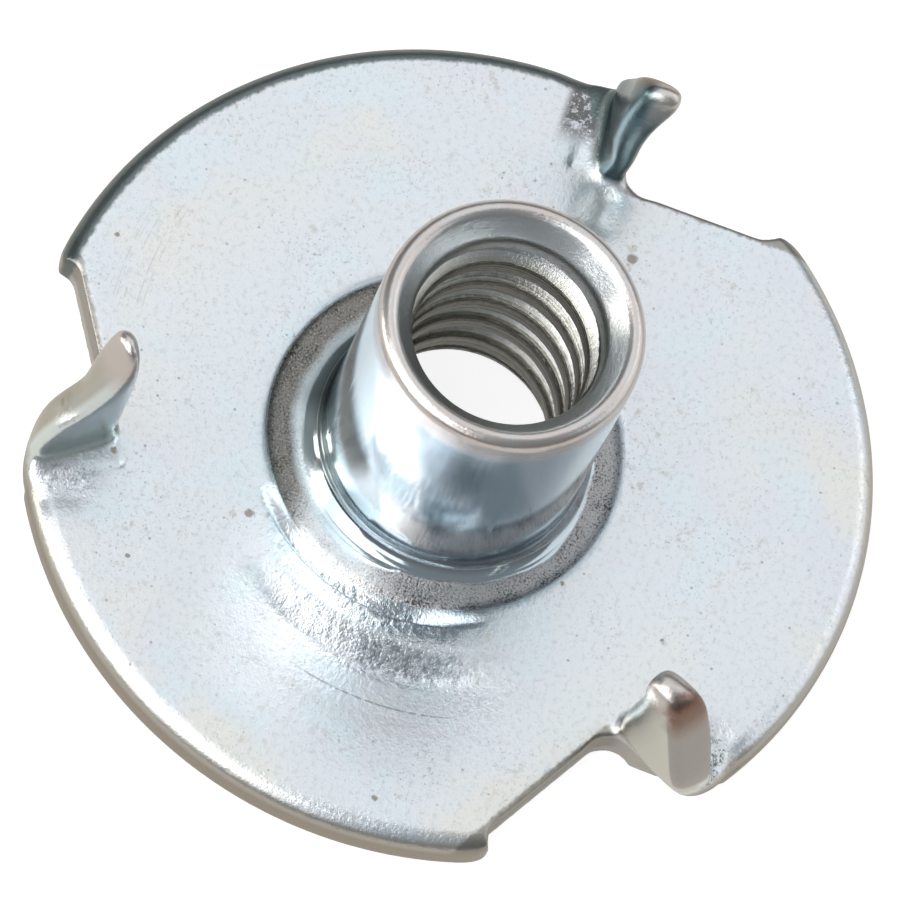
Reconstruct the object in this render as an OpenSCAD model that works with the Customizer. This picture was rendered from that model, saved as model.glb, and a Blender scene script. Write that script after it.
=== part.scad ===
// Three-prong tee nut, 10-24 thread, pressed from one disc of zinc-plated sheet steel.
// The origin is the centre of the flange's underside, and the barrel points up along +Z.
// The first prong's cut is square to +X, and the other two follow at equal angles.

/* [Flange] */
// Diameter of the round flange
flange_d = 19.05; // [18:0.05:24]
// Thickness of the sheet
sheet_t = 1.0; // [0.8:0.05:1.2]
// Rounding of the rim's two edges, left by the blanking punch
rim_r = 0.26; // [0.1:0.02:0.34]

/* [Barrel] */
// Height of the whole nut, from the underside to the mouth of the barrel
total_h = 7.94; // [6.8:0.02:11]
// Outside diameter of the barrel
barrel_d = 5.86; // [5.7:0.02:6.4]
// Diameter of the plain mouth above the thread
mouth_d = 4.3; // [4.1:0.05:4.5]
// Depth of the plain mouth
mouth_depth = 1.15; // [0.8:0.05:1.6]
// Diameter at the thread's crests
thread_minor_d = 3.94; // [3.7:0.02:4]
// Radius of the drawn funnel on the underside
funnel_r = 1.9; // [1.2:0.1:2]

/* [Collar] */
// Diameter of the crease that the drawing die leaves round the barrel
collar_d = 7.7; // [7.6:0.1:8.6]
// Depth of the die's mark below the flange's top face, at the crease
collar_dip = 0.16; // [0.1:0.02:0.24]
// Radius of the fillet from the barrel to the crease
collar_fillet_r = 0.8; // [0.6:0.05:0.85]
// Diameter at which the die's mark runs out on the flange
dip_d = 9.0; // [8.8:0.1:10.4]

/* [Prongs] */
// Distance from the nut's axis to each straight cut
cut_distance = 7.2; // [7:0.05:7.6]
// Length of each straight cut, from the foot of the nut's axis to its end at the rim
cut_length = 5.65; // [5.2:0.05:5.9]
// Rounding at the end of the cut
cut_end_r = 0.4; // [0.1:0.05:0.5]
// How far a blade's inner edge stands back from the line of its cut
blade_inset = 0.2; // [0:0.05:0.3]
// Radius at the inside of each prong's bend
bend_r = 0.45; // [0.35:0.05:0.8]
// Angles that the three prongs are bent through
bend_angles = [85, 85, 84]; // [76:1:92]
// Start of the bend, measured along the cut from the foot of the nut's axis
bend_start = 0.45; // [0.2:0.05:0.6]
// How much thinner the sheet is in a bend
bend_thin = 0.02; // [0.02:0.01:0.1]
// Radius of each prong's blunt tip
tip_r = 0.42; // [0.3:0.02:0.5]

/* [Hidden] */
zinc = [0.78, 0.82, 0.86];
fine = 96;                        // facets round the barrel and its fillets
rim_fine = 192;                   // facets round the rim
eps = 0.01;                       // how far cutters run past what they cut
lap = 0.06;                       // how far a bend's ends lie inside what they join
prongs = len(bend_angles);
flange_r = flange_d / 2;
barrel_r = barrel_d / 2;
lip_r = (barrel_d - mouth_d) / 4; // the mouth's edge is one full round
lip_h = total_h - lip_r;          // height of the lip's centre
crease_r = collar_d / 2;
crease_h = sheet_t - collar_dip;
bend_h = sheet_t + bend_r;        // height of the bends' axes
bend_mid = bend_r + sheet_t / 3;  // radius at which the sheet keeps its length in a bend

// Half section of the disc and the barrel, before anything is cut from it
module nut_section() {
    flat_r = flange_r - rim_r;
    square([flat_r, sheet_t]);
    translate([0, rim_r]) square([flange_r, sheet_t - 2 * rim_r]);
    for (y = [rim_r, sheet_t - rim_r]) translate([flat_r, y]) circle(r = rim_r, $fn = 32);
    square([barrel_r, lip_h]);
    translate([barrel_r - lip_r, lip_h]) circle(r = lip_r, $fn = 48);
    // solid corner out of which the fillet's round is cut
    square([barrel_r + collar_fillet_r, crease_h + collar_fillet_r]);
}

// Half section of the die's mark: the fillet's round, then a shallow cone out to the flat
module die_mark() {
    round_x = barrel_r + collar_fillet_r;
    round_y = crease_h + collar_fillet_r;
    translate([round_x, round_y]) circle(r = collar_fillet_r, $fn = fine);
    polygon([[round_x, crease_h], [crease_r, crease_h], [dip_d / 2, sheet_t],
             [dip_d / 2, round_y + eps], [round_x, round_y + eps]]);
}

// Half section of the hole: funnel, thread crests and plain mouth
module bore_section() {
    crest_r = thread_minor_d / 2;
    translate([0, -eps]) square([crest_r, total_h + 2 * eps]);
    translate([0, total_h - mouth_depth]) square([mouth_d / 2, mouth_depth + eps]);
    difference() {
        translate([0, -eps]) square([crest_r + funnel_r, funnel_r + eps]);
        translate([crest_r + funnel_r, funnel_r]) circle(r = funnel_r, $fn = fine);
    }
}

// The disc with the barrel drawn up out of its middle
module drawn_disc() {
    difference() {
        rotate_extrude($fn = rim_fine) nut_section();
        rotate_extrude($fn = fine) die_mark();
        rotate_extrude($fn = fine) bore_section();
    }
}

// The gap left where a prong was sheared from the rim and bent up
module notch() {
    inner = cut_distance + cut_end_r;
    end = -cut_length + cut_end_r;
    translate([0, 0, -eps]) linear_extrude(sheet_t + 2 * eps) {
        translate([inner, -cut_length]) square([flange_r, cut_length - bend_start]);
        translate([cut_distance, end]) square([flange_r, -end - bend_start]);
        translate([inner, end]) circle(r = cut_end_r, $fn = 32);
    }
}

// Section along a prong, x along its cut and y up: the bend, then the straight blade.
// The bend's ends lie inside the flange and the blade, which are a little thicker.
module prong_section(bend_angle) {
    outer_r = bend_r + sheet_t;
    translate([0, bend_h]) {
        difference() {
            circle(r = outer_r - bend_thin / 2, $fn = fine);
            circle(r = bend_r + bend_thin / 2, $fn = fine);
            translate([-outer_r - lap, -outer_r]) square([outer_r, 2 * outer_r]);
            rotate(bend_angle) translate([lap, -outer_r]) square([outer_r, 2 * outer_r]);
        }
        rotate(bend_angle) translate([0, -outer_r]) square([flange_r, sheet_t]);
    }
}

// Outline of a prong, x out from the nut's axis and y up from the end of its bend.
// rim_centre is where the nut's axis falls once the sheet is bent, so that the prong's
// outer edge is still the rim's own arc.
module prong_outline(rim_centre) {
    inner = cut_distance + blade_inset;
    reach = inner + tip_r;
    rise = sqrt(pow(flange_r - tip_r, 2) - reach * reach);
    touch = flange_r / (flange_r - tip_r);
    translate([0, rim_centre]) intersection() {
        circle(r = flange_r, $fn = rim_fine);
        translate([inner, -flange_r]) square(2 * flange_r);
        union() {
            polygon([[0, -flange_r], [flange_r, -flange_r], [flange_r, rise * touch],
                     [reach * touch, rise * touch], [reach, rise], [0, rise]]);
            translate([reach, rise]) circle(r = 1.02 * tip_r, $fn = 32);
        }
    }
}

// One prong in place
module prong(bend_angle) {
    bend_length = bend_mid * bend_angle * PI / 180;
    intersection() {
        translate([flange_r + 1, -bend_start, 0]) rotate([90, 0, -90])
            linear_extrude(flange_r) prong_section(bend_angle);
        translate([0, -bend_start, bend_h]) rotate([180 - bend_angle, 0, 0])
            translate([0, 0, -bend_h])
                linear_extrude(3 * bend_h) prong_outline(-bend_start - bend_length);
    }
}

module tee_nut() {
    color(zinc) {
        difference() {
            drawn_disc();
            for (i = [0 : prongs - 1]) rotate(i * 360 / prongs) notch();
        }
        for (i = [0 : prongs - 1]) rotate(i * 360 / prongs) prong(bend_angles[i]);
    }
}

tee_nut();
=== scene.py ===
import bpy
import bmesh
import math
from mathutils import Vector, Matrix, noise


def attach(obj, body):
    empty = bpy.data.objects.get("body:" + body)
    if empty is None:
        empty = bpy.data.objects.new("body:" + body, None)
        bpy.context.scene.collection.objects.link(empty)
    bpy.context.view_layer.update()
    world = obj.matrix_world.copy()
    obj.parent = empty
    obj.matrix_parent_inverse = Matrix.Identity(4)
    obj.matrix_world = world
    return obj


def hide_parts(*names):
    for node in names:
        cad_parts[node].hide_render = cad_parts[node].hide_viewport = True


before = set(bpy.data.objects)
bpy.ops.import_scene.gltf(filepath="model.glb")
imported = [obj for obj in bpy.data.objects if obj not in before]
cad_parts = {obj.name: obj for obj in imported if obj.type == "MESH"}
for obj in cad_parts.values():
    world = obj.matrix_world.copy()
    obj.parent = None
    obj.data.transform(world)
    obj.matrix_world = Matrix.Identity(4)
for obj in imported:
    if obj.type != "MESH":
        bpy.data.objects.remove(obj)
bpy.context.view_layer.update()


# ---- Tee nut: drawn disc and barrel -------------------------------------------------
# The nut is one disc of 1 mm sheet steel, plated with zinc. A press draws its middle up
# into the barrel, which leaves a fillet and a die mark at its foot and a rolled mouth.
# It is modelled in millimetres and brought down to metres once it is whole.
rim_radius = 9.522
sheet = 1.0
rim_round = 0.26    # the rim's lower edge
rim_fall = 0.45     # the rim's upper edge, which the punch pulled down
barrel_radius = 2.93
total_height = 7.94
lip_round = 0.26
fillet_radius = 0.5
fillet_x, fillet_z = 3.43, 1.35
collar_top = 0.85
mouth_radius = 2.12
mouth_round = 0.35
mouth_floor = 6.9   # where the smooth mouth ends and the thread begins
crest_radius = 1.97
funnel_round = 1.9


def arc(centre_x, centre_z, radius, start, end, steps):
    turns = [math.radians(start + (end - start) * i / steps) for i in range(steps + 1)]
    return [(centre_x + radius * math.cos(a), centre_z + radius * math.sin(a)) for a in turns]


def straight(x0, z0, x1, z1, steps):
    return [(x0 + (x1 - x0) * i / steps, z0 + (z1 - z0) * i / steps) for i in range(1, steps)]


def new_mesh(name, points, edges):
    mesh = bpy.data.meshes.new(name)
    mesh.from_pydata(points, edges, [])
    obj = bpy.data.objects.new(name, mesh)
    bpy.context.collection.objects.link(obj)
    make_active(obj)
    return obj


def make_active(obj):
    bpy.ops.object.select_all(action="DESELECT")
    obj.select_set(True)
    bpy.context.view_layer.objects.active = obj


section = arc(rim_radius - rim_round, rim_round, rim_round, -90, 0, 8)
section += arc(rim_radius - rim_fall, sheet - rim_fall, rim_fall, 0, 90, 12)
section += straight(rim_radius - rim_fall, sheet, 4.5, sheet, 20)
section += [(4.5, sheet), (4.1, sheet), (4.02, 0.99), (3.95, 0.95), (3.89, 0.885), (3.82, collar_top)]
section += arc(fillet_x, fillet_z, fillet_radius, -90, -180, 12)
section += straight(barrel_radius, fillet_z, barrel_radius, total_height - lip_round, 20)
section += arc(barrel_radius - lip_round, total_height - lip_round, lip_round, 0, 80, 10)
section += arc(barrel_radius - lip_round, total_height - 0.2, 0.2, 90, 140, 8)
section += arc(mouth_radius + mouth_round, 7.25, mouth_round, 140, 180, 6)
section += [(mouth_radius, mouth_floor), (mouth_radius, 6.79), (crest_radius, 6.6)]
section += straight(crest_radius, 6.6, crest_radius, funnel_round, 10)
section += arc(crest_radius + funnel_round, funnel_round, funnel_round, 180, 270, 16)
section += straight(crest_radius + funnel_round, 0, rim_radius - rim_round, 0, 16)
count = len(section)
nut = new_mesh("nut", [(x, 0, z) for x, z in section], [(i, (i + 1) % count) for i in range(count)])
bpy.ops.object.mode_set(mode="EDIT")
bpy.ops.mesh.select_all(action="SELECT")
bpy.ops.mesh.spin(steps=256, angle=math.tau, center=(0, 0, 0), axis=(0, 0, 1))
bpy.ops.mesh.select_all(action="SELECT")
bpy.ops.mesh.remove_doubles(threshold=0.001)
bpy.ops.mesh.normals_make_consistent(inside=False)
bpy.ops.object.mode_set(mode="OBJECT")


# ---- Tee nut: thread ----------------------------------------------------------------
# A 10-24 tap cuts the thread from the mouth down: 1.058 mm a turn, right hand, with its
# crests on the bore and its roots 0.41 mm deeper.
pitch = 1.058
root_radius = 2.38
turns = 7
thread_start = 0.35
groove_inside = 1.7
groove = [(groove_inside, -0.43), (root_radius, -0.06), (root_radius, 0.06), (groove_inside, 0.43)]
steps = 96
points = []
for i in range(turns * steps + 1):
    turn = math.tau * i / steps
    rise = thread_start + pitch * i / steps
    points += [(x * math.cos(turn), x * math.sin(turn), z + rise) for x, z in groove]
tap = new_mesh("tap", points, [])
faces = []
for i in range(turns * steps):
    for j in range(4):
        faces.append((4 * i + j, 4 * i + (j + 1) % 4, 4 * i + 4 + (j + 1) % 4, 4 * i + 4 + j))
last = 4 * turns * steps
faces += [(0, 3, 2, 1), (last, last + 1, last + 2, last + 3)]
tap.data.clear_geometry()
tap.data.from_pydata(points, [], faces)
bpy.ops.object.mode_set(mode="EDIT")
bpy.ops.mesh.select_all(action="SELECT")
bpy.ops.mesh.normals_make_consistent(inside=False)
bpy.ops.object.mode_set(mode="OBJECT")


def join_solid(obj, tool, operation):
    make_active(obj)
    cut = obj.modifiers.new("cut", "BOOLEAN")
    cut.operation = operation
    cut.solver = "EXACT"
    cut.object = tool
    bpy.ops.object.modifier_apply(modifier="cut")
    bpy.data.objects.remove(tool)


# the tap leaves the smooth mouth as it is
bpy.ops.mesh.primitive_cylinder_add(vertices=96, radius=3, depth=4, location=(0, 0, mouth_floor + 2))
guard = bpy.context.object
join_solid(tap, guard, "DIFFERENCE")
join_solid(nut, tap, "DIFFERENCE")


# ---- Tee nut: prongs ----------------------------------------------------------------
# Three straight cuts free three strips of the rim. Each is bent up about a line square
# to its cut and narrows to a blunt tip, and no two are quite alike. A small web is left
# in the corner of each cut, and shearing leaves every edge round.
bend_y, bend_z = -0.45, 1.46            # the line that a strip is bent about
bend_inside, bend_outside = 0.46, 1.43  # radii of its two faces in the bend
edge_round, tip_round = 0.15, 0.1
prong_list = [
    # turn, cut distance, cut length, radius of the cut's end, bend angle, then the blade at
    # each height: inner edge, outer edge behind and in front, and how far along the cut the
    # inner back, outer back and front edges stand
    (0, 7.22, 5.68, 0.8, 85, [
        (1.7, 7.34, 9.45, 9.28, -1.27, -0.72, -1.84), (2.3, 7.36, 9.25, 9.12, -1.12, -0.88, -1.82),
        (2.9, 7.37, 9.00, 8.93, -1.06, -1.04, -1.84), (3.5, 7.38, 8.76, 8.74, -1.04, -1.06, -1.90),
        (4.1, 7.42, 8.50, 8.50, -1.08, -1.10, -2.02), (4.5, 7.48, 8.32, 8.28, -1.18, -1.20, -2.14),
        (4.8, 7.58, 8.05, 8.12, -1.30, -1.25, -2.18), (4.95, 7.72, 7.95, 8.00, -1.50, -1.50, -2.00)]),
    (120, 7.33, 5.50, 0.4, 85, [
        (1.7, 7.37, 9.34, 9.12, -1.15, -0.90, -1.92), (2.3, 7.37, 9.12, 8.90, -1.15, -0.92, -1.97),
        (2.6, 7.37, 8.90, 8.52, -1.15, -0.93, -2.04), (2.9, 7.37, 8.66, 8.24, -1.15, -0.94, -2.10),
        (3.4, 7.37, 8.34, 8.24, -1.16, -0.95, -2.15), (4.0, 7.37, 8.02, 8.22, -1.20, -1.00, -2.17),
        (4.6, 7.38, 7.82, 8.14, -1.25, -1.12, -2.20), (5.05, 7.44, 7.78, 8.02, -1.38, -1.30, -2.17),
        (5.25, 7.57, 7.74, 7.86, -1.58, -1.55, -2.00)]),
    (240, 7.10, 5.75, 0.5, 86, [
        (1.7, 7.22, 9.42, 9.15, -1.10, -0.88, -1.94), (2.3, 7.22, 9.24, 8.98, -1.02, -0.88, -1.97),
        (2.9, 7.30, 9.04, 8.83, -1.00, -0.88, -1.99), (3.5, 7.42, 8.80, 8.63, -1.06, -0.90, -2.02),
        (4.0, 7.40, 8.66, 8.52, -1.12, -0.98, -2.06), (4.35, 7.34, 8.54, 8.44, -1.20, -1.08, -2.07),
        (4.62, 7.35, 8.36, 8.28, -1.34, -1.22, -2.01), (4.80, 7.58, 8.08, 8.02, -1.55, -1.48, -1.86)]),
]


def add_block(low, high):
    middle = [(a + b) / 2 for a, b in zip(low, high)]
    bpy.ops.mesh.primitive_cube_add(size=1, location=middle, scale=[b - a for a, b in zip(low, high)])
    bpy.ops.object.transform_apply(location=True, rotation=True, scale=True)
    return bpy.context.object


def select_parts(obj, kind, test):
    bm = bmesh.from_edit_mesh(obj.data)
    bm.normal_update()
    for part in list(bm.faces) + list(bm.edges) + list(bm.verts):
        part.select_set(False)
    for part in getattr(bm, kind):
        if test(part):
            part.select_set(True)
    bm.select_flush_mode()
    bmesh.update_edit_mesh(obj.data)


def place_ring(obj, corners, chamfer):
    """Puts the eight selected points on a chamfered outline with these four corners."""
    top_in, top_out, low_out, low_in = [Vector(c) for c in corners]
    across, through = (top_out - top_in).length, (low_in - top_in).length
    u, v = chamfer / across, chamfer / through
    spots = [(u, 0), (1 - u, 0), (1, v), (1, 1 - v), (1 - u, 1), (u, 1), (0, 1 - v), (0, v)]
    bm = bmesh.from_edit_mesh(obj.data)
    ring = [face for face in bm.faces if face.select][0]
    loops = sorted(ring.verts, key=lambda vert: vert[bm.verts.layers.int["order"]])
    for vert, (s, t) in zip(loops, spots):
        high = top_in.lerp(top_out, s)
        low = low_in.lerp(low_out, s)
        vert.co = high.lerp(low, t)
    bmesh.update_edit_mesh(obj.data)


def start_strip():
    bpy.ops.mesh.primitive_circle_add(vertices=8, radius=1, fill_type="NGON")
    obj = bpy.context.object
    bpy.ops.object.mode_set(mode="EDIT")
    bpy.ops.mesh.select_mode(type="FACE")
    bm = bmesh.from_edit_mesh(obj.data)
    order = bm.verts.layers.int.new("order")
    for i, vert in enumerate(bm.verts):
        vert[order] = i
    bmesh.update_edit_mesh(obj.data)
    bpy.ops.mesh.select_all(action="SELECT")
    return obj


for turn, cut_distance, cut_length, end_round, bend_angle, blade in prong_list:
    # the gap that the strip leaves
    notch = add_block((cut_distance, -cut_length, -0.5), (rim_radius + 1, bend_y, 1.5))
    bpy.ops.object.mode_set(mode="EDIT")
    bpy.ops.mesh.select_mode(type="EDGE")
    select_parts(notch, "edges", lambda e: abs(e.verts[0].co.z - e.verts[1].co.z) > 1
                 and e.verts[0].co.x < cut_distance + 0.1 and e.verts[0].co.y < -1)
    bpy.ops.mesh.bevel(offset=end_round, segments=10, affect="EDGES")
    bpy.ops.object.mode_set(mode="OBJECT")

    # the web in the corner, between the cut and the blade
    web_end = -2.3
    web = add_block((cut_distance - 0.3, web_end, 0.02), (cut_distance + 1.4, bend_y - 0.2, 0.98))
    bpy.ops.object.mode_set(mode="EDIT")
    bpy.ops.mesh.select_mode(type="EDGE")
    select_parts(web, "edges",
                 lambda e: all(v.co.x > cut_distance + 1 and v.co.y < -2 for v in e.verts))
    bpy.ops.transform.translate(value=(0, 0.92, 0))
    bpy.ops.object.mode_set(mode="OBJECT")
    bpy.ops.mesh.primitive_cylinder_add(vertices=64, radius=0.6, depth=3,
                                        location=(cut_distance + 0.62, web_end, 0.5))
    join_solid(web, bpy.context.object, "DIFFERENCE")

    # the strip itself: its root lies in the flange, then the bend, then the blade
    strip = start_strip()
    inner, outer = cut_distance - 0.4, rim_radius
    place_ring(strip, [(inner, 0.1, 0.90), (outer - 0.25, 0.1, 0.90), (outer - 0.25, 0.1, 0.10),
                       (inner, 0.1, 0.10)], edge_round)
    stations = [[(inner, -0.3, 1.0), (outer - 0.06, -0.3, 1.0), (outer - 0.06, -0.3, 0.0),
                 (inner, -0.3, 0.0)]]
    # through the bend: share of its angle, then how far in, how far along and how high
    # the torn inner edge stands
    bend = [(0.1, -0.30, -0.55, 0.97), (0.35, -0.12, -0.80, 0.98), (0.6, 0.0, -1.02, 1.03),
            (0.82, 0.05, -1.18, 1.2)]
    for share, inside, back, height in bend:
        along = math.radians(bend_angle * share)
        grow = max(0.0, share - 0.25) / 0.75
        ring = [(cut_distance + inside, back, height)]
        for column, start, radius in ((2, outer, bend_inside), (3, outer - 0.02, bend_outside),
                                      (1, 0, bend_outside)):
            side = start + (blade[0][column] - start) * grow if start else cut_distance + inside
            ring.append((side, bend_y - radius * math.sin(along), bend_z - radius * math.cos(along)))
        stations.append(ring)
    for height, blade_in, out_back, out_front, in_y, back_y, front_y in blade:
        stations.append([(blade_in, in_y, height), (out_back, back_y, height),
                         (out_front, front_y, height), (blade_in, front_y, height)])
    for ring in stations:
        bpy.ops.mesh.extrude_region_move()
        place_ring(strip, ring, edge_round if ring is not stations[-1] else tip_round)
    bpy.ops.mesh.select_all(action="SELECT")
    bpy.ops.mesh.normals_make_consistent(inside=False)
    bpy.ops.object.mode_set(mode="OBJECT")
    make_active(strip)
    soft = strip.modifiers.new("soft", "SUBSURF")
    soft.levels = soft.render_levels = 3
    bpy.ops.object.modifier_apply(modifier="soft")
    for piece in (notch, web, strip):
        piece.data.transform(Matrix.Rotation(math.radians(turn), 4, "Z"))
    join_solid(nut, notch, "DIFFERENCE")
    join_solid(nut, web, "UNION")
    join_solid(nut, strip, "UNION")


# ---- Tee nut: plated skin -----------------------------------------------------------
# Pressing and plating leave no sharp edge: the whole nut is remade as one skin and
# relaxed, most in the torn corners of the cuts. The die has also left a collar a little
# off centre, shallow rings beside it, and dents at the roots of the prongs.
triangles = 190000
collar_shift, collar_shift_angle = 0.17, math.radians(97.6)
make_active(nut)
skin = nut.modifiers.new("skin", "REMESH")
skin.mode = "VOXEL"
skin.voxel_size = 0.06
bpy.ops.object.modifier_apply(modifier="skin")
torn = nut.vertex_groups.new(name="torn")
soft_places = []
for turn, cut_distance, cut_length, end_round, bend_angle, blade in prong_list:
    turned = Matrix.Rotation(math.radians(turn), 3, "Z")
    soft_places += [(turned @ Vector((cut_distance + 0.3, -1.9, 1.0)), 0.75),
                    (turned @ Vector((cut_distance, -1.1, 1.1)), 0.6),
                    (turned @ Vector((cut_distance + 0.45, -cut_length - 0.08, 0.5)), 0.65)]
for vert in nut.data.vertices:
    if vert.co.x ** 2 + vert.co.y ** 2 < 36:
        continue
    weight = max(1 - (vert.co - spot).length / reach for spot, reach in soft_places)
    if weight > 0:
        torn.add([vert.index], min(1.0, 2.5 * weight), "REPLACE")
# the rim's corner at the end of each cut is worn round
for vert in nut.data.vertices:
    radius = math.hypot(vert.co.x, vert.co.y)
    if radius < 9.2:
        continue
    for turn, cut_distance, cut_length, end_round, bend_angle, blade in prong_list:
        away = math.atan2(vert.co.y, vert.co.x) - math.radians(turn) + math.asin(cut_length / rim_radius)
        away = -rim_radius * ((away + math.pi) % math.tau - math.pi)
        limit = rim_radius - 0.8 * (0.5 - away) ** 2
        if -0.1 < away < 0.5 and radius > limit:
            vert.co.x, vert.co.y = vert.co.x * limit / radius, vert.co.y * limit / radius
for group, iterations in (("torn", 30), ("", 6)):
    relax = nut.modifiers.new("relax", "SMOOTH")
    relax.factor = 0.5
    relax.iterations = iterations
    relax.vertex_group = group
    bpy.ops.object.modifier_apply(modifier="relax")
nut.vertex_groups.clear()


def ease(low, high, value):
    t = min(1.0, max(0.0, (value - low) / (high - low)))
    return t * t * (3 - 2 * t)


def sector(angle, middle, half, fade):
    away = abs((angle - middle + 180) % 360 - 180)
    return 1 - ease(half, half + fade, away)


for vert in nut.data.vertices:
    x, y, z = vert.co
    radius = math.hypot(x, y)
    angle = math.degrees(math.atan2(y, x))
    # the drawn wall and its fillet are true, so that they shine without ripples
    if fillet_z < z < 7.4 and 2.85 < radius < 3.0:
        vert.co.x, vert.co.y = x * barrel_radius / radius, y * barrel_radius / radius
    elif 0.7 < z < fillet_z and 2.85 < radius < fillet_x:
        reach = math.hypot(fillet_x - radius, fillet_z - z)
        if reach > 0.4:
            radius = fillet_x - (fillet_x - radius) * fillet_radius / reach
            vert.co.z = fillet_z - (fillet_z - z) * fillet_radius / reach
    elif 0.5 < z < 1.7:
        # the sheet is not quite flat, and the die sat harder on one side: there the collar
        # slopes down to an edge and a wider step is pressed round it
        vert.co.z += 0.004 * noise.noise(Vector((x, y, 0)) * 1.1)
        near = sector(angle, 168, 18, 26)
        if 3.78 < radius < 4.4:
            sloped = collar_top - 0.19 * min(1.0, (radius - 3.78) / 0.5)
            vert.co.z += near * (1 - ease(4.28, 4.4, radius)) * (sloped - z)
        ring = ease(4.8, 5.75, radius) * (1 - min(1.0, max(0.0, (radius - 5.8) / 2.4)))
        vert.co.z -= 0.17 * ring * sector(angle, 174, 14, 27)
    # the collar sits off centre
    if barrel_radius < radius < 5.6 and 0.5 < z < 1.7:
        shift = collar_shift * ease(2.95, 3.6, radius) * (1 - ease(4.6, 5.6, radius))
        vert.co.x = radius * math.cos(math.radians(angle)) + shift * math.cos(collar_shift_angle)
        vert.co.y = radius * math.sin(math.radians(angle)) + shift * math.sin(collar_shift_angle)
    # each prong's root is sunk a little, and the sheet is creased beside the first
    if radius > 5.6 and 0.6 < z < 1.15:
        for turn in (0, 120, 240):
            a = math.radians(turn)
            u, v = x * math.cos(a) + y * math.sin(a), y * math.cos(a) - x * math.sin(a)
            crease = math.exp(-((v + 1.45) / 0.4) ** 2) * ease(5.7, 6.3, u) * (1 - ease(6.8, 7.3, u))
            crease = crease if turn == 0 else 0
            sunk = math.exp(-((v + 0.1) / 0.35) ** 2) * ease(8.0, 8.8, u)
            vert.co.z -= 0.10 * crease + 0.05 * sunk
thin = nut.modifiers.new("thin", "DECIMATE")
thin.ratio = triangles / (2 * len(nut.data.polygons))
bpy.ops.object.modifier_apply(modifier="thin")
nut.data.transform(Matrix.Scale(0.001, 4))
bpy.ops.object.shade_smooth()
nut.name = "nut"
# the wall's normals point straight out, however its triangles fell
normals = []
for vert in nut.data.vertices:
    x, y, z = vert.co * 1000
    radius = math.hypot(x, y)
    if fillet_z < z < 7.3 and abs(radius - barrel_radius) < 0.02:
        normals.append((x / radius, y / radius, 0))
    else:
        normals.append(tuple(vert.normal))
nut.data.normals_split_custom_set_from_vertices(normals)
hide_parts("tee_nut")
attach(nut, "root")


# ---- Tee nut: zinc ------------------------------------------------------------------
# Thin bright zinc: satin and blue-white on the flat, mirror-like on the drawn barrel,
# brown and grainy where the die dragged, with pin-holes and small stains all over.
class Flow:
    """A socket of a material's nodes, which can be used in sums."""

    def __init__(self, tree, socket):
        self.tree, self.socket = tree, socket

    def node(self, kind, settings=None, out=0, **inputs):
        """Adds a node. Its inputs go by name, or by number as i0, i1 and so on."""
        made = self.tree.nodes.new(kind)
        for name, value in (settings or {}).items():
            setattr(made, name, value)
        for name, value in inputs.items():
            slot = int(name[1:]) if name[1:].isdigit() else name
            if isinstance(value, Flow):
                self.tree.links.new(value.socket, made.inputs[slot])
            else:
                made.inputs[slot].default_value = value
        return Flow(self.tree, made.outputs[out])

    def calc(self, operation, a, b=0.0, c=0.0):
        return self.node("ShaderNodeMath", {"operation": operation}, i0=a, i1=b, i2=c)

    def __add__(self, other):
        return self.calc("ADD", self, other)

    def __radd__(self, other):
        return self.calc("ADD", other, self)

    def __sub__(self, other):
        return self.calc("SUBTRACT", self, other)

    def __rsub__(self, other):
        return self.calc("SUBTRACT", other, self)

    def __mul__(self, other):
        return self.calc("MULTIPLY", self, other)

    def __rmul__(self, other):
        return self.calc("MULTIPLY", other, self)

    def __truediv__(self, other):
        return self.calc("DIVIDE", self, other)

    def __pow__(self, other):
        return self.calc("POWER", self, other)

    def between(self, low, high):
        """0 below low, 1 above high, soft between them."""
        return self.node("ShaderNodeMapRange", {"interpolation_type": "SMOOTHSTEP"},
                         i0=self, i1=low, i2=high, i3=0.0, i4=1.0)

    def band(self, low, high, soft):
        """1 from low to high, 0 outside, soft at both ends."""
        return self.between(low - soft, low + soft) * (1 - self.between(high - soft, high + soft))

    def noise(self, scale, detail=2.0, roughness=0.5, shift=0.0):
        moved = self.node("ShaderNodeVectorMath", {"operation": "ADD"}, i0=self, i1=(shift, shift, shift))
        return self.node("ShaderNodeTexNoise", Vector=moved, Scale=scale, Detail=detail,
                         Roughness=roughness)

    def pick(self, low, high):
        """The colour low where this is 0, and high where it is 1."""
        return self.node("ShaderNodeMix", {"data_type": "RGBA"}, out=2, i0=self, i6=low, i7=high)

    def blend(self, colour, amount):
        return amount.pick(self, (*colour, 1))


zinc = bpy.data.materials.new("zinc")
zinc.use_nodes = True
tree = zinc.node_tree
bsdf = tree.nodes["Principled BSDF"]
start = Flow(tree, None)
metres = start.node("ShaderNodeTexCoord", out=3)
spot = start.node("ShaderNodeVectorMath", {"operation": "MULTIPLY"}, i0=metres, i1=(1000, 1000, 1000))
x, y, z = [Flow(tree, part) for part in start.node("ShaderNodeSeparateXYZ", i0=spot).socket.node.outputs]
radius = (x * x + y * y) ** 0.5
angle = start.calc("ARCTAN2", y, x)
off_x, off_y = x + 0.022, y - 0.168
collar_radius = (off_x * off_x + off_y * off_y) ** 0.5
# the same for every prong: prong_u runs out from the axis and prong_v along its cut
turned = start.calc("WRAP", angle, math.radians(60), math.radians(-60))
prong_u, prong_v = radius * start.calc("COSINE", turned), radius * start.calc("SINE", turned)

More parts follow.
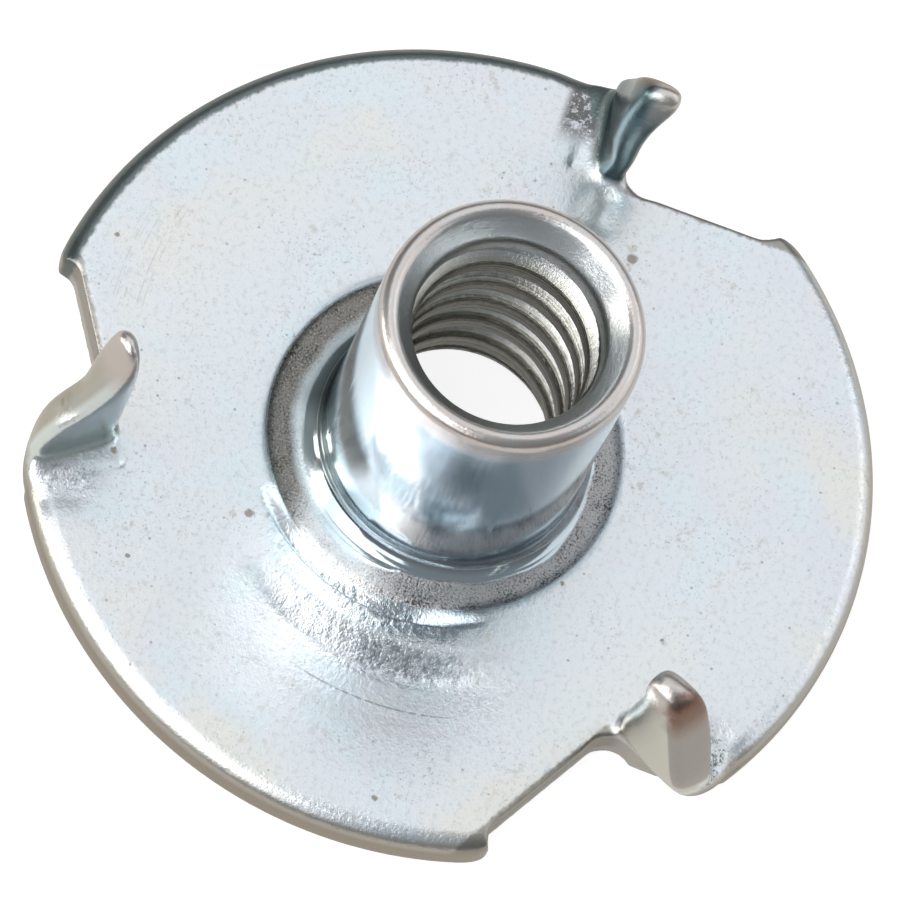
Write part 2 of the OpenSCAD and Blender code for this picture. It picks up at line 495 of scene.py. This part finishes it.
# large clouds, smears, flakes and grains
cloud = spot.noise(0.35, 3.0)
cloud_b = spot.noise(0.6, 3.0, shift=7.0)
straw = spot.noise(0.3, 2.0, shift=33.0)
clusters = spot.noise(0.5, 3.0, 0.6, shift=21.0).between(0.44, 0.62)
smear = spot.noise(2.0, 3.0, 0.6, shift=43.0)
peel = spot.noise(5.5, 2.0, 0.6, shift=51.0)
fine = spot.noise(7.0, 3.0, 0.6, shift=3.0)
grain = spot.noise(16.0, 2.0, 0.6, shift=11.0)
crumbs = spot.noise(20.0, 3.0, 0.7, shift=41.0)
ragged = 0.14 * (fine - 0.5) + 0.1 * (smear - 0.5)

# where each part of the nut lies, from 0 to 1: the flange's top, the barrel and its foot
flat = z.between(0.82, 0.95) * (1 - z.between(1.02, 1.12)) * collar_radius.between(3.93, 4.0)
wall = radius.band(2.6, 3.05, 0.05) * z.between(1.2, 1.35) * (1 - z.between(7.5, 7.65))
mouth = radius.band(2.05, 3.1, 0.04) * z.between(6.95, 7.5)
lip = mouth * (radius + 0.12 * (cloud_b - 0.5)).between(2.45, 2.62)
bore = (1 - radius.between(2.0, 2.46)) * (1 - z.between(6.75, 6.9))
foot = (1 - collar_radius.between(3.93, 4.0)) * radius.between(2.9, 2.95) * (1 - z.between(1.45, 1.55))
plus_y = y.between(0.6, 2.2)
collar_inside = 3.33 - 0.13 * y.band(-1.3, 0.3, 0.5) - 0.35 * y.between(1.2, 2.6)
collar = (collar_radius + 0.4 * (cloud_b - 0.5) - collar_inside).between(0.0, 0.12 + 0.4 * plus_y) * foot
polish = start.calc("MAXIMUM", wall, foot * (1 - collar))

# the three prongs, their tips, roots and sheared faces
first_prong = (x / radius).between(0.49, 0.51)
second_prong = (1 - first_prong) * y.between(-0.1, 0.1)
third_prong = (1 - first_prong) * (1 - y.between(-0.1, 0.1))
prong = z.between(1.02, 1.15) * radius.between(6.3, 6.6)
tip = z.between(3.7, 4.6) * prong
cut_face = (1 - z.between(0.8, 0.95)) * radius.between(6.5, 7.0)
cut_edge = 7.1 + 0.12 * first_prong + 0.23 * second_prong
root = prong_v.band(-1.15, -0.02, 0.13) * prong_u.between(7.6, 8.4) * (1 - z.between(1.15, 1.3))
root = root * (smear + 0.08 * first_prong).between(0.36, 0.52) * (1 - 0.45 * second_prong)

# the side where the die dragged
dragged_side = (1 - y.between(0.1, 0.9)) * y.between(-3.0, -0.8) * (1 - x.between(-3.9, -3.2))
ringed = (1 - x.between(-4.2, -3.1)) * radius.band(3.8, 5.9, 0.15) * y.between(-2.8, 0.2)
ringed = ringed * (1 - y.between(2.0, 3.2))

colour = (cloud.between(0.5, 0.62) * 0.8).pick((0.74, 0.77, 0.80, 1), (0.73, 0.75, 0.80, 1))
colour = colour.blend((0.70, 0.785, 0.83), cloud_b.between(0.5, 0.66) * 0.7)
colour = colour.blend((0.80, 0.77, 0.69), straw.between(0.47, 0.62) * radius.between(5.5, 8.5) * 0.6)

# brown stains in loose clusters, fine dark specks, a few pin-holes and eight larger marks
stain = spot.noise(3.4, 5.0, 0.7, shift=17.0).between(0.56, 0.68) * clusters
colour = colour.blend((0.47, 0.41, 0.34), stain * 0.5)
speck = spot.noise(13.0, 2.0, 0.55, shift=61.0).between(0.61, 0.68) * (0.35 + 0.65 * clusters)
dots = start.node("ShaderNodeTexVoronoi", Vector=spot, Scale=2.6)
hole = (1 - dots.between(0.05, 0.12)) * spot.noise(1.3, 2.0, 0.6, shift=5.0).between(0.48, 0.56)
speck = start.calc("MAXIMUM", speck * 0.75, hole) * flat
colour = colour.blend((0.25, 0.25, 0.25), speck * 0.6)
colour = colour.blend((0.58, 0.60, 0.61), fine.between(0.50, 0.72) * 0.6)
for mark_x, mark_y, size in ((-2.97, 6.93, 0.09), (-3.26, 3.70, 0.11), (-8.57, -0.84, 0.08),
                             (-2.28, -3.27, 0.06), (1.93, 8.43, 0.06), (-2.74, -5.74, 0.06),
                             (5.67, -2.48, 0.14), (-5.2, 5.9, 0.05)):
    away_x, away_y = x - mark_x, y - mark_y
    away = (away_x * away_x + away_y * away_y) ** 0.5 + 0.16 * (fine - 0.5)
    mark = (1 - away.between(0.6 * size, 1.1 * size)) * flat
    colour = colour.blend((0.25, 0.21, 0.17), mark * 0.8)
    speck = start.calc("MAXIMUM", speck, mark * 0.5)

# a patch of slightly bent scratches near the rim
across = y + 0.095 * x + 0.06 * (x - 1.8) * (x - 1.8)
scratch = start.node("ShaderNodeTexNoise", {"noise_dimensions": "1D"}, W=across, Scale=16.0, Detail=2.0)
scratch = scratch.between(0.56, 0.63) * across.band(7.5, 8.3, 0.1) * x.band(0.5, 3.1, 0.3)
colour = colour.blend((0.45, 0.47, 0.48), scratch * smear.between(0.42, 0.55) * flat * 0.45)

# the collar: brown and grainy, barer on the side that the die rubbed
colour = colour.blend((0.22, 0.21, 0.195), collar)
colour = colour.blend((0.50, 0.46, 0.38), collar * plus_y * crumbs.between(0.60, 0.68))
colour = colour.blend((0.43, 0.425, 0.43), collar * (1 - plus_y))
bare = y.band(0.6, 2.7, 0.4) * (1 - x.between(-2.2, -1.6))
colour = colour.blend((0.78, 0.78, 0.78), collar * bare * 0.85)
dark_crumbs = 1 - (crumbs + smear.between(0.3, 0.7) * 0.12).between(0.36, 0.62)
colour = colour.blend((0.05, 0.042, 0.036), collar * dark_crumbs * (1 - 0.55 * bare))

# the stretched sheet at the prongs' roots, and the die's groove and ring beside the collar
dark_flakes = 1 - (0.5 * crumbs + 0.5 * fine - 0.09 * first_prong).between(0.42, 0.52)
colour = colour.blend((0.11, 0.11, 0.105), root * dark_flakes * 0.9)
die_mark = collar_radius.band(3.93, 4.32, 0.05) * dragged_side
colour = colour.blend((0.47, 0.53, 0.57), die_mark * 0.85)
torn_zinc = 1 - (0.6 * peel + 0.4 * fine).between(0.42, 0.56)
colour = colour.blend((0.33, 0.37, 0.40), radius.band(4.95, 5.75, 0.15) * dragged_side * torn_zinc * 0.8)

# painted shade: a dull band on one slope of the crease beside the first prong, and a painted teal shadow
# at that prong's root
crease_shade = prong_u.band(6.0, 7.0, 0.25) * (prong_v + 0.31 * (prong_u - 6.15)).band(-1.45, -1.0, 0.12)
crease_shade = crease_shade * first_prong * (1 - z.between(1.05, 1.15))
colour = colour.blend((0.34, 0.38, 0.38), crease_shade * 0.75)
shaded = 1 - (prong_v - 0.467 * prong_u + 0.2 * (smear - 0.5)).between(-4.75, -4.63)
shaded = shaded * first_prong * prong_u.between(7.7, 8.0) * prong_v.between(-2.0, -1.8)
shaded = shaded * z.between(0.85, 0.95) * (1 - z.between(1.2, 1.3))
colour = colour.blend((0.15, 0.20, 0.205), shaded * 0.9)

# the drawn barrel: a painted highlight in a leaning stripe, a painted darker blue reflection beside it,
# and painted lighter reflection on both sides
colour = colour.blend((0.54, 0.61, 0.66), polish * (1 - lip))
# painted dark reflection: the polished fillet at the barrel's foot darker teal on the +Y side
colour = colour.blend((0.24, 0.29, 0.30), foot * (1 - collar) * (1 - wall) * plus_y)
painted_reflection_lean = y - 1.465 + 0.292 * (5.4 - z) + 0.25 * (cloud_b - 0.5)
painted_light_wall = polish * (1 - lip) * (1 - x.between(-0.8, 0.0))
above_fillet = z.between(2.4, 3.4)
# painted highlight: a white leaning stripe up the near side of the wall
colour = colour.blend((0.92, 0.95, 0.97), painted_light_wall * painted_reflection_lean.band(-0.6, 0.5, 0.12) * z.between(1.3, 1.8))
# painted reflection: a darker blue band beside the highlight
colour = colour.blend((0.37, 0.44, 0.49), painted_light_wall * painted_reflection_lean.band(-3.0, -0.8, 0.2) * above_fillet)
# painted reflection: the wall lighter towards -Y and towards +Y
colour = colour.blend((0.74, 0.82, 0.83), painted_light_wall * (1 - y.between(-2.5, -2.1)) * above_fillet * 0.8)
colour = colour.blend((0.74, 0.83, 0.85), painted_light_wall * y.between(2.1, 2.5) * 0.8)

# the rolled mouth, and the thread with the tap's fine lines
colour = colour.blend((0.62, 0.65, 0.66), mouth)
colour = colour.blend((0.62, 0.565, 0.54), lip * (0.6 + 0.4 * cloud_b.between(0.4, 0.6)))
along = z - pitch / math.tau * angle
lines = start.node("ShaderNodeTexNoise", {"noise_dimensions": "1D"}, W=along, Scale=11.0, Detail=3.0,
                   Roughness=0.7)
colour = colour.blend((0.42, 0.41, 0.37), bore)
colour = colour.blend((0.15, 0.14, 0.105), bore * (lines + 0.3 * (fine - 0.5)).between(0.46, 0.62) * 0.8)

# sheared faces are duller and warmer, and on one side the rim's rounded edge carries a ragged painted
# dark reflection
colour = colour.blend((0.50, 0.485, 0.45), cut_face)
sheared = (prong_u - cut_edge + ragged).between(-0.16, -0.06) * (1 - prong_v.between(-1.9, -1.7))
sheared = sheared * z.between(0.3, 0.5) * (1 - z.between(1.05, 1.1))
colour = colour.blend((0.30, 0.28, 0.25), sheared * 0.85)
rim_dark_reflection = (radius + ragged).between(9.06, 9.16) * (1 - z.between(1.05, 1.1))
rim_dark_reflection = rim_dark_reflection * x.between(-4.5, -1.5) * y.between(-3.2, -1.6)
colour = colour.blend((0.13, 0.16, 0.16), rim_dark_reflection * 0.9)
colour = colour.blend((0.36, 0.32, 0.27), (1 - z.between(0.6, 0.8)) * radius.between(9.3, 9.42))

# prongs: pale in front, teal behind, brown on top, the first one painted dark teal all over as painted
# shade, and a painted brown reflection on the outer edge near the tips
colour = colour.blend((0.64, 0.63, 0.58), prong)
behind = prong_v.between(-1.4, -1.2)
colour = colour.blend((0.74, 0.82, 0.80), prong * behind)
colour = colour.blend((0.68, 0.73, 0.75), prong * prong_v.between(-1.7, -1.5) * z.between(1.9, 2.6))
colour = colour.blend((0.42, 0.39, 0.33), prong * second_prong * (1 - behind) * 0.7)
side = (prong_u + 0.29 * (z - 1.7)).between(8.86, 8.94) * z.between(1.2, 1.5) * third_prong
colour = colour.blend((0.36, 0.345, 0.33), side)
teal = prong * third_prong * z.between(2.2, 2.8) * (1 - prong_u.between(7.45, 7.85))
colour = colour.blend((0.26, 0.33, 0.34), teal * smear.between(0.3, 0.5) * 0.8)
colour = colour.blend((0.60, 0.55, 0.53), tip * (1 - 0.5 * first_prong))
pale_tip = tip * (1 - prong_v.between(-1.7, -1.4))
# painted shade: the first prong dark teal, apart from the front of its tip
colour = colour.blend((0.13, 0.185, 0.195), prong * first_prong * (1 - pale_tip))
# painted reflection: dark brown on the outer edge near the tips of the first and third prongs
brown_reflection = (prong_u + 0.25 * (z - 4.2) + 0.6 * (smear - 0.5)).between(8.0, 8.35) * z.between(3.3, 4.2)
colour = colour.blend((0.20, 0.11, 0.075), brown_reflection * (first_prong + third_prong) * 0.9)

# a thin ring that the blank holder pressed round the dragged side
ring_line = radius.band(6.42, 6.46, 0.015) * (1 - x.between(-6.3, -6.1))
colour = colour.blend((0.30, 0.32, 0.33), ring_line * fine.between(0.35, 0.5) * 0.8)

rough = 0.32 + 0.12 * (fine - 0.5) + 0.10 * stain + 0.2 * speck - 0.13 * ringed
rough = rough - (rough - 0.12) * polish
rough = rough - (rough - 0.28) * mouth
rough = rough - (rough - 0.28) * bore
rough = rough - (rough - 0.22 - 0.1 * tip) * prong * 0.9
bump = 0.6 * grain + 0.9 * fine + 1.6 * crumbs * collar + 1.6 * crumbs * root + 0.8 * peel * ringed
bump = bump * (1 - 0.93 * polish) * (1 - 0.35 * mouth) + bore * (2.0 * lines + 1.3 * crumbs)
height = start.node("ShaderNodeBump", Strength=1.0, Distance=0.000009, Height=bump)
for name, value in (("Base Color", colour), ("Roughness", rough), ("Normal", height)):
    tree.links.new(value.socket, bsdf.inputs[name])
bsdf.inputs["Metallic"].default_value = 1.0
nut.data.materials.clear()
nut.data.materials.append(zinc)


# ---- Floor --------------------------------------------------------------------------
# A sheet of white paper. It looks white, keeps a soft shadow, and shows in the zinc as
# plain warm paper, so that the bore and the rim's underside stay darker than the sheet.
bpy.ops.mesh.primitive_plane_add(size=1.2, location=(0, 0, 0))
floor = bpy.context.object
floor.name = "floor"
paper = bpy.data.materials.new("paper")
paper.use_nodes = True
paper_tree = paper.node_tree
paper_bsdf = paper_tree.nodes["Principled BSDF"]
seen = Flow(paper_tree, None).node("ShaderNodeLightPath")
shade = seen.pick((0.50, 0.47, 0.42, 1), (0.30, 0.30, 0.30, 1))
glow = 0.28 + seen * 0.58
paper_tree.links.new(shade.socket, paper_bsdf.inputs["Base Color"])
paper_tree.links.new(glow.socket, paper_bsdf.inputs["Emission Strength"])
paper_bsdf.inputs["Emission Color"].default_value = (1, 1, 1, 1)
paper_bsdf.inputs["Roughness"].default_value = 0.9
paper_bsdf.inputs["Specular IOR Level"].default_value = 0.0
floor.data.materials.append(paper)


# ---- Light --------------------------------------------------------------------------
# A grey room, a little lighter above, and six soft boxes. The wide one stands behind the
# nut and shows in the flange. The others show in the barrel, the mouth and the rim.
world = bpy.data.worlds.new("studio")
bpy.context.scene.world = world
world.use_nodes = True
room = world.node_tree
background = room.nodes["Background"]
seen = Flow(room, None).node("ShaderNodeLightPath")
towards = seen.node("ShaderNodeTexCoord")
rise = seen.node("ShaderNodeSeparateXYZ", out=2, i0=towards)
walls = rise.between(0.0, 0.7).pick((0.19, 0.195, 0.20, 1), (0.26, 0.285, 0.30, 1))
room.links.new(walls.blend((1, 1, 1), seen).socket, background.inputs["Color"])
background.inputs["Strength"].default_value = 1.0


def add_soft_box(name, elevation, azimuth, distance, width, height, level, colour=(1, 1, 1)):
    """level is how bright the box looks, whatever its size."""
    bpy.ops.object.light_add(type="AREA")
    lamp = bpy.context.object
    lamp.name = name
    lamp.data.shape = "RECTANGLE"
    lamp.data.size, lamp.data.size_y = width, height
    lamp.data.color = colour
    lamp.data.energy = level * math.pi * width * height
    e, a = math.radians(elevation), math.radians(azimuth)
    lamp.location = distance * Vector((math.cos(e) * math.cos(a), math.cos(e) * math.sin(a), math.sin(e)))
    lamp.rotation_euler = lamp.location.to_track_quat("Z", "Y").to_euler()


add_soft_box("soft_box_wide", 56, -8, 0.6, 0.74, 0.44, 0.76)
add_soft_box("soft_box_left", 46, 128, 0.6, 0.44, 0.72, 3.3)
add_soft_box("soft_box_top", 79, 60, 0.6, 0.16, 0.16, 2.4)
add_soft_box("soft_box_front", 36, 166, 0.6, 0.24, 0.20, 1.6)
add_soft_box("soft_box_low", 12, 98, 0.6, 0.22, 0.22, 4.0, (1, 0.95, 0.86))
add_soft_box("soft_box_right", 30, 292, 0.7, 0.70, 0.60, 0.8)


# ---- Camera -------------------------------------------------------------------------
# A long lens looks down on the flange at 65 degrees from the -X side, and the camera is
# rolled, so that the barrel leans to the upper right.
tilt, azimuth, roll = math.radians(24.64), math.radians(172.064), math.radians(-27.303)
back = Vector((math.sin(tilt) * math.cos(azimuth), math.sin(tilt) * math.sin(azimuth), math.cos(tilt)))
level_up = (Vector((0, 0, 1)) - back * back.z).normalized()
level_right = level_up.cross(back)
up = math.cos(roll) * level_up + math.sin(roll) * level_right
right = up.cross(back)
flange_top = Vector((0, 0, 0.001))
eye = flange_top + 0.28575 * back - 0.00005334 * right - 0.00017669 * up
lens = bpy.data.cameras.new("camera")
lens.lens = 522.368
lens.sensor_width = 36
lens.clip_start = 0.01
camera = bpy.data.objects.new("camera", lens)
bpy.context.collection.objects.link(camera)
camera.matrix_world = Matrix((
    (right.x, up.x, back.x, eye.x),
    (right.y, up.y, back.y, eye.y),
    (right.z, up.z, back.z, eye.z),
    (0, 0, 0, 1)))
bpy.context.scene.camera = camera
bpy.context.scene.view_settings.view_transform = "Standard"
